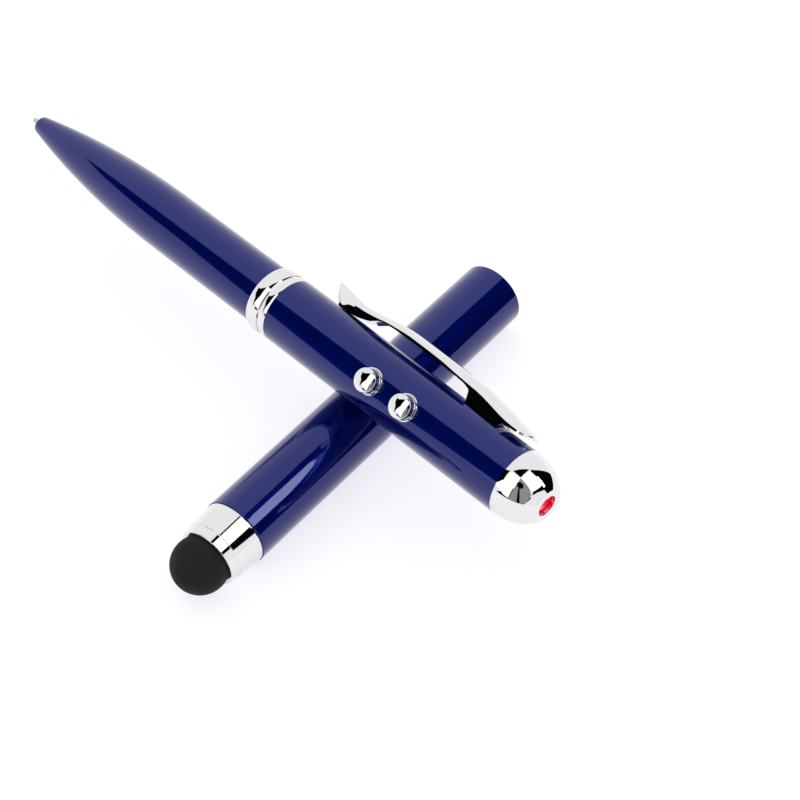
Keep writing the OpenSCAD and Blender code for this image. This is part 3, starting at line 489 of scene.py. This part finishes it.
def clip_surface(end, stations=420, steps=24, wall_steps=4):
    """Loft of the clip. At distance x from its end, a section runs over the roof from side to side,
    y = w * sin(a), down one side, back along the floor and up the other side. The roof is
    crest - crown * (y / w)^2, but at least side above the floor, which is an arc
    sqrt((barrel_r + under)^2 - y^2) round the pen's axis. The stations crowd towards both ends."""
    margin = 0.02
    crowd = np.cos(np.linspace(margin, np.pi - margin, stations))
    x = CLIP_LEN * (crowd[0] - crowd) / (crowd[0] - crowd[-1])
    blunt = end_round(x, CLIP_END_ROUND)
    tip = end_round(CLIP_LEN + CLIP_TIP_BLUNT - x, CLIP_TIP_ROUND)
    w = np.maximum(CLIP_LEAST_HALF, curve(CLIP_HALF, x) * blunt * tip)[:, None]
    crest = (barrel_r + curve(CLIP_CREST, x) - CLIP_END_DROP * (1 - blunt))[:, None]
    crown = (curve(CLIP_CROWN, x) * blunt)[:, None]
    under = (barrel_r + curve(CLIP_UNDER, x))[:, None]
    a = np.linspace(-np.pi / 2, np.pi / 2, steps + 1)
    y = w * np.sin(a)
    floor = np.sqrt(under**2 - y**2)
    roof = np.maximum(crest - crown * np.sin(a) ** 2, floor + curve(CLIP_SIDE, x)[:, None])
    down = np.linspace(0, 1, wall_steps + 1)[1:-1]
    wall = roof[:, -1:] + down * (floor[:, -1:] - roof[:, -1:])
    side = np.broadcast_to(w, wall.shape)
    across = np.hstack([y, side, y[:, ::-1], -side])[..., None]
    height = np.hstack([roof, wall, floor[:, ::-1], wall[:, ::-1]])[..., None]
    grid = PEN + (end - x)[:, None, None] * X + across * np.cross(clip_up, X) + height * clip_up
    count = grid.shape[1]
    section = np.arange(count)[None]
    ends = [section[:, ::-1], section + (stations - 1) * count]
    return grid.reshape(-1, 3), [grid_faces(stations, count, False), *ends]


clip_end = reach("clip", PEN, X)[1]
add_piece("clip_bar", *clip_surface(clip_end), MATERIALS["chrome"], "clip", ["clip"], "chrome")

# Front barrel, with its long ogive nose
NOSE_LEN, NOSE_R, NOSE_EDGE, NOSE_HOLE_R, NOSE_WALL, GUIDE_R, GUIDE_END = 36, 1.58, 0.8, 0.8, 1.0, 1.235, 5.0
NOSE_LIP, STRAIGHT_FROM = 0.02, NOSE_LEN + 1
nose_drop = front_r - NOSE_R
ogive_r = (NOSE_LEN**2 + nose_drop**2) / (2 * nose_drop)
ogive_c = front_r - ogive_r
edge_c = ogive_c + math.sqrt((ogive_r - NOSE_EDGE) ** 2 - (NOSE_LEN - NOSE_EDGE) ** 2)
edge_turn = math.degrees(math.asin((NOSE_LEN - NOSE_EDGE) / (ogive_r - NOSE_EDGE)))
inside_turn = math.degrees(math.asin((NOSE_LEN - GUIDE_END) / (ogive_r - barrel_wall)))
front_outline = softened(
    [(NOSE_HOLE_R, NOSE_LIP)]
    + arc_points(edge_c, NOSE_EDGE, NOSE_EDGE, -90, -edge_turn - ARC_TRIM, 12)
    + arc_points(ogive_c, NOSE_LEN, ogive_r, -edge_turn, 0, 64)
    + [(front_r, STRAIGHT_FROM), (front_r, ring_at), (front_r - barrel_wall, ring_at)]
    + arc_points(ogive_c, NOSE_LEN, ogive_r - barrel_wall, 0, -inside_turn, 24)
    + [(GUIDE_R, GUIDE_END), (GUIDE_R, NOSE_WALL), (NOSE_HOLE_R, NOSE_WALL)]
)
add_piece(
    "front_barrel_shell", *turned(front_outline, PEN, X, 256),
    MATERIALS["lacquer"], "front_barrel", ["front_barrel"], "lacquer",
)

# Ring of two crowned bands with a groove between them
RING_CROWN, RING_REAR_PROUD, RING_REAR_CROWN, RING_REAR_LEN = 0.22, 0.08, 0.1, 1.45
RING_GROOVE_W, RING_GROOVE_DEPTH, RING_IN = 0.35, 0.3, 4.8
rear_band_r = barrel_r + RING_REAR_PROUD
groove_r = rear_band_r - RING_GROOVE_DEPTH
groove_end = ring_end - RING_REAR_LEN
groove_from = groove_end - RING_GROOVE_W


def crowned(radius, crown, start, end, count=25):
    """Corners of a band's outline, an arc that falls by crown from its middle to both its edges."""
    half = (end - start) / 2
    bow = (half**2 + crown**2) / (2 * crown)
    turn = math.degrees(math.asin(half / bow))
    return arc_points(radius - bow, (start + end) / 2, bow, -turn, turn, count)


ring_outline = softened(
    [(RING_IN, ring_from)] + crowned(ring_r, RING_CROWN, ring_from, groove_from)
    + [(groove_r, groove_from), (groove_r, groove_end)]
    + crowned(rear_band_r, RING_REAR_CROWN, groove_end, ring_end) + [(RING_IN, ring_end)]
)
add_piece(
    "centre_ring_bands", *turned(ring_outline, PEN, X, 256),
    MATERIALS["chrome"], "front_barrel", ["centre_ring"], "chrome",
)

# Slim cone of the refill, with a cup for the ball, a short neck, a shoulder and a stem in the tube
TIP_MOUTH_R, TIP_CHAMFER, TIP_NECK_R, TIP_NECK_LEN, TIP_NECK_EDGE = 0.42, 0.06, 0.68, 0.4, 0.05
TIP_SHOULDER, TIP_SHOULDER_LEN, REFILL_R, TUBE_AT, STEM_IN_TUBE_R = 1.2, 0.3, 1.175, 3.98, 0.83
BALL_GAP, CUP_TRIM = 0.03, 4.0
tip_from, tip_end, _ = reach("refill_tip", PEN, X)
ball_at = middle("refill_ball")
cup_r = reach("refill_ball", PEN, X)[2] + BALL_GAP
mouth_turn = math.degrees(math.asin((tip_from - ball_at) / cup_r))
tip_outline = softened(
    [(0, ball_at + cup_r)] + arc_points(0, ball_at, cup_r, 90 - CUP_TRIM, mouth_turn, 20)
    + [(TIP_MOUTH_R, tip_from + TIP_CHAMFER), (TIP_NECK_R, TIP_SHOULDER - TIP_NECK_LEN, TIP_NECK_EDGE)]
    + [(TIP_NECK_R, TIP_SHOULDER), (REFILL_R, TIP_SHOULDER + TIP_SHOULDER_LEN), (REFILL_R, TUBE_AT)]
    + [(STEM_IN_TUBE_R, TUBE_AT), (STEM_IN_TUBE_R, tip_end), (0, tip_end)]
)
add_piece(
    "refill_tip_cone", *turned(tip_outline, PEN, X, 96), MATERIALS["steel"], "refill", ["refill_tip"], "steel"
)

# Cap's tube, with the seat of its liner and collar, a run-out groove and the bore
LINER_END, RELIEF_LEN, RELIEF_DEPTH, SEAT_STEP, TUBE_EDGE = 26, 1.0, 0.2, 0.25, 0.08
seat_r, seat_end = cap_bore_r - SEAT_STEP, LINER_END - FIT_GAP
relief_r, relief_end = cap_bore_r + RELIEF_DEPTH, seat_end + RELIEF_LEN
tube_outline = softened(
    [(seat_r, 0), (cap_r, 0, TUBE_EDGE), (cap_r, cap_len, EDGE), (cap_bore_r, cap_len, EDGE)]
    + [(cap_bore_r, relief_end), (relief_r, relief_end), (relief_r, seat_end), (seat_r, seat_end)]
)
add_piece(
    "cap_tube_shell", *turned(tube_outline, CAP, cap_axis, 256),
    MATERIALS["lacquer"], "cap", ["cap_tube"], "lacquer",
)

# Collar: a tapered band, a step down to a tapered lip round the rubber, and a spigot in the tube
COLLAR_BAND, COLLAR_R, COLLAR_BAND_R, COLLAR_EDGE = 4.9, 5.75, 5.475, 0.14
LIP_STEP, LIP_STEP_EDGE, LIP_R, PLUG_R, POCKET_LEN = 0.1, 0.05, 5.175, 2.5, 1.5
collar_end, spigot_end, _ = reach("cap_collar", CAP, cap_axis)
stylus_far, stylus_near, stylus_r = reach("stylus_tip", CAP, cap_axis)
stylus_mid = stylus_far + stylus_r
neck_r = math.sqrt(stylus_r**2 - (collar_end - stylus_mid) ** 2)
lip_in, pocket_end = neck_r + FIT_GAP, collar_end + POCKET_LEN
spigot_r, seam, step_at = seat_r - FIT_GAP, -FIT_GAP, -FIT_GAP - COLLAR_BAND
collar_outline = softened(
    [(PLUG_R, spigot_end), (spigot_r, spigot_end), (spigot_r, seam), (COLLAR_R, seam, COLLAR_EDGE)]
    + [(COLLAR_BAND_R, step_at, LIP_STEP_EDGE), (COLLAR_BAND_R - LIP_STEP, step_at)]
    + [(LIP_R, collar_end, EDGE), (lip_in, collar_end), (lip_in, pocket_end), (PLUG_R, pocket_end)]
)
add_piece(
    "cap_collar_band", *turned(collar_outline, CAP, cap_axis, 256),
    MATERIALS["chrome"], "cap", ["cap_collar"], "chrome",
)

# Hollow rubber dome of the stylus
STYLUS_WALL = 0.9
hollow_r = stylus_r - STYLUS_WALL
lip_turn = math.degrees(math.asin((collar_end - stylus_mid) / stylus_r))
stem_turn = math.degrees(math.acos(PLUG_R / hollow_r))
stylus_outline = softened(
    [(0, stylus_far)]
    + arc_points(0, stylus_mid, stylus_r, ARC_TRIM - 90, lip_turn, 72)
    + [(neck_r, stylus_near), (PLUG_R, stylus_near)]
    + arc_points(0, stylus_mid, hollow_r, stem_turn, ARC_TRIM - 90, 40)
    + [(0, stylus_mid - hollow_r)]
)
add_piece(
    "stylus_dome", *turned(stylus_outline, CAP, cap_axis, 192),
    MATERIALS["rubber"], "cap", ["stylus_tip"], "rubber",
)

# The other CAD nodes keep their meshes and take the finish of their slot
slot_of = {s["node"]: s["material_slot"] for s in frame["record"]["subparts"]}
for name, obj in frame["nodes"].items():
    if not obj.hide_render:
        obj.data.materials.clear()
        obj.data.materials.append(MATERIALS[slot_of[name]])


# Stage, in metres
def stage_mesh(name, points, faces, material):
    """Object of the studio, which is no part of the pen."""
    mesh = bpy.data.meshes.new(name)
    mesh.from_pydata(points, [], faces)
    mesh.materials.append(material)
    obj = bpy.data.objects.new(name, mesh)
    bpy.context.scene.collection.objects.link(obj)
    return obj


def pale_paper(tree):
    """What the camera, reflections and glass see of the paper is raised to white, and keeps the shadow, which
    takes a painted lavender tint.
    """
    path = add_node(tree, "ShaderNodeLightPath").outputs
    seen = path["Is Camera Ray"]
    for ray in ("Is Glossy Ray", "Is Transmission Ray"):
        seen = add_node(tree, "ShaderNodeMath", {0: seen, 1: path[ray]}, operation="MAXIMUM").outputs[0]
    paper = add_node(tree, "ShaderNodeBsdfDiffuse", {"Color": colour("#E4E4E4")})
    # The warm lit part and the pale lavender lift add up to white in full light; in shadow the lavender shows as a
    # painted shadow tint
    shaded = add_node(tree, "ShaderNodeBsdfDiffuse", {"Color": colour("#9A9B88")})
    lift_with_painted_tint = add_node(tree, "ShaderNodeEmission", {"Color": colour("#DFDCE8"), "Strength": 1.0})
    white = add_node(tree, "ShaderNodeAddShader", {0: shaded.outputs[0], 1: lift_with_painted_tint.outputs[0]})
    return add_node(tree, "ShaderNodeMixShader", {0: seen, 1: paper.outputs[0], 2: white.outputs[0]})


def lit_card(code, strength):
    """Shader function for a card of the studio, which looks equally bright from every side."""
    return lambda tree: add_node(tree, "ShaderNodeEmission", {"Color": colour(code), "Strength": strength})


FLOOR = 12.0
floor_corners = [(-FLOOR, -FLOOR, 0), (FLOOR, -FLOOR, 0), (FLOOR, FLOOR, 0), (-FLOOR, FLOOR, 0)]
stage_mesh("floor", floor_corners, [(0, 1, 2, 3)], new_material("pale_paper", pale_paper))

# Camera
CAMERA_AT, CAMERA_TO = Vector((177.18, -139.01, 242.31)) * MM, Vector((21.21, 14.17, 0.11)) * MM
camera = bpy.data.objects.new("camera", bpy.data.cameras.new("camera"))
camera.data.sensor_width = 36
camera.data.lens = 86.2
camera.data.clip_start, camera.data.clip_end = 0.01, 50
camera.location = CAMERA_AT
camera.rotation_mode = "QUATERNION"
camera.rotation_quaternion = (CAMERA_TO - CAMERA_AT).to_track_quat("-Z", "Y")
bpy.context.scene.collection.objects.link(camera)
bpy.context.scene.camera = camera

# White tent: an even white world, with dark cards and bright panels that show in the chrome and the lacquer
world = bpy.data.worlds.new("white_tent")
world.use_nodes = True
world.node_tree.nodes.clear()
tent = add_node(world.node_tree, "ShaderNodeBackground", {"Color": colour("#FFFFFF"), "Strength": 1.0})
add_node(world.node_tree, "ShaderNodeOutputWorld", {"Surface": tent.outputs[0]})
bpy.context.scene.world = world

# A card's corners are places on a mirror ball that stands where the pen lies, right and up from its middle
BALL_BACK = unit(np.array([0.478, -0.469, 0.742]))
BALL_RIGHT = unit(np.cross([0.0, 0.0, 1.0], BALL_BACK))
BALL_UP = np.cross(BALL_BACK, BALL_RIGHT)


def card(name, corners, distance, material, lights):
    """Card far off, as a fan round its middle. At a corner the ball's normal n is right * RIGHT + up * UP +
    sqrt(1 - right^2 - up^2) * BACK, and it sends the view from BACK along 2 * (n . BACK) * n - BACK."""
    ab = np.array(corners)
    out = np.sqrt(1 - (ab**2).sum(axis=1))
    n = ab[:, :1] * BALL_RIGHT + ab[:, 1:] * BALL_UP + out[:, None] * BALL_BACK
    way = 2 * (n @ BALL_BACK)[:, None] * n - BALL_BACK
    points = distance * np.vstack([way, unit(way.mean(axis=0))])
    here = np.arange(len(corners))
    fan = np.stack([here, np.roll(here, -1), np.full(len(here), len(here))], axis=1)
    obj = stage_mesh(name, points.tolist(), fan.tolist(), material)
    obj.visible_camera = False
    obj.visible_diffuse = obj.visible_shadow = lights


dark = new_material("black_card", lit_card("#050506", 1.0))
grey = new_material("grey_card", lit_card("#98989A", 1.0))
bright = new_material("bright_panel", lit_card("#FFFFFF", 1.4))
lamp = new_material("lamp_glow", lit_card("#FFFFFF", 5.0))
CARDS = {
    "card_back": (11.0, dark, [
        (-0.58, -0.2), (-0.4, -0.4), (-0.15, -0.44), (0.1, -0.2), (-0.1, 0.05), (-0.4, -0.15),
    ]),
    "panel_left": (9.0, bright, [
        (-0.545, -0.005), (-0.375, 0.12), (-0.215, 0.315), (-0.16, 0.345), (-0.046, 0.235), (-0.375, -0.295),
        (-0.455, -0.225), (-0.5, -0.105), (-0.56, -0.065),
    ]),
    "card_left": (4.0, dark, [
        (-0.2, 0.345), (-0.42, 0.36), (-0.51, 0.41), (-0.578, 0.26), (-0.57, 0.12), (-0.625, -0.13),
        (-0.55, -0.02), (-0.45, 0.06), (-0.37, 0.12),
    ]),
    "card_top": (4.0, dark, [(-0.147, 0.355), (0.011, 0.428), (0.218, 0.463), (-0.03, 0.251)]),
    "card_right": (4.0, dark, [
        (0.23, 0.46), (0.35, 0.47), (0.5, 0.475), (0.747, 0.395), (0.762, 0.326), (0.73, -0.1), (0.61, -0.12),
        (0.46, 0.06), (0.232, -0.045), (0.135, -0.12), (0.2, 0.1),
    ]),
    "card_front": (4.0, grey, [
        (-0.034, 0.238), (-0.155, 0.068), (-0.263, -0.095), (-0.367, -0.31), (-0.3, -0.385), (-0.17, -0.41),
        (-0.027, -0.339), (0.11, -0.12), (0.093, 0.044), (0.038, 0.14),
    ]),
    "camera_body": (3.0, dark, [
        (-0.153, 0.056), (-0.13, 0.12), (-0.068, 0.15), (-0.02, 0.12), (-0.015, 0.07), (-0.04, 0.01),
        (-0.1, -0.007), (-0.14, 0.015),
    ]),
    "camera_stand": (3.0, dark, [(-0.135, 0.0), (-0.105, 0.0), (-0.165, -0.4), (-0.225, -0.395)]),
    "panel_right": (3.0, bright, [
        (-0.02, 0.24), (0.23, 0.46), (0.3, 0.42), (0.37, 0.33), (0.5, 0.2), (0.42, 0.16), (0.16, -0.03),
    ]),
    "card_gap": (2.8, dark, [
        (0.225, 0.42), (0.245, 0.46), (0.37, 0.41), (0.475, 0.325), (0.58, 0.2), (0.51, 0.12), (0.35, 0.31),
    ]),
    "lamp_right": (2.7, lamp, [(0.34, 0.335), (0.362, 0.34), (0.505, 0.15), (0.46, 0.12)]),
}
for name, (distance, material, corners) in CARDS.items():
    card(name, corners, distance, material, lights=material is lamp)

# One soft key lamp from the upper left gives the shadows their side
KEY_AT, KEY_SIDE, KEY_POWER = Vector((-0.55, 0.1, 0.75)), 0.5, 1.0
key = bpy.data.objects.new("key", bpy.data.lights.new("key", "AREA"))
key.data.size = KEY_SIDE
key.data.energy = KEY_POWER
key.location = KEY_AT
key.rotation_mode = "QUATERNION"
key.rotation_quaternion = (-KEY_AT).to_track_quat("-Z", "Y")
key.visible_glossy = False
bpy.context.scene.collection.objects.link(key)

bpy.context.scene.view_settings.view_transform = "Standard"
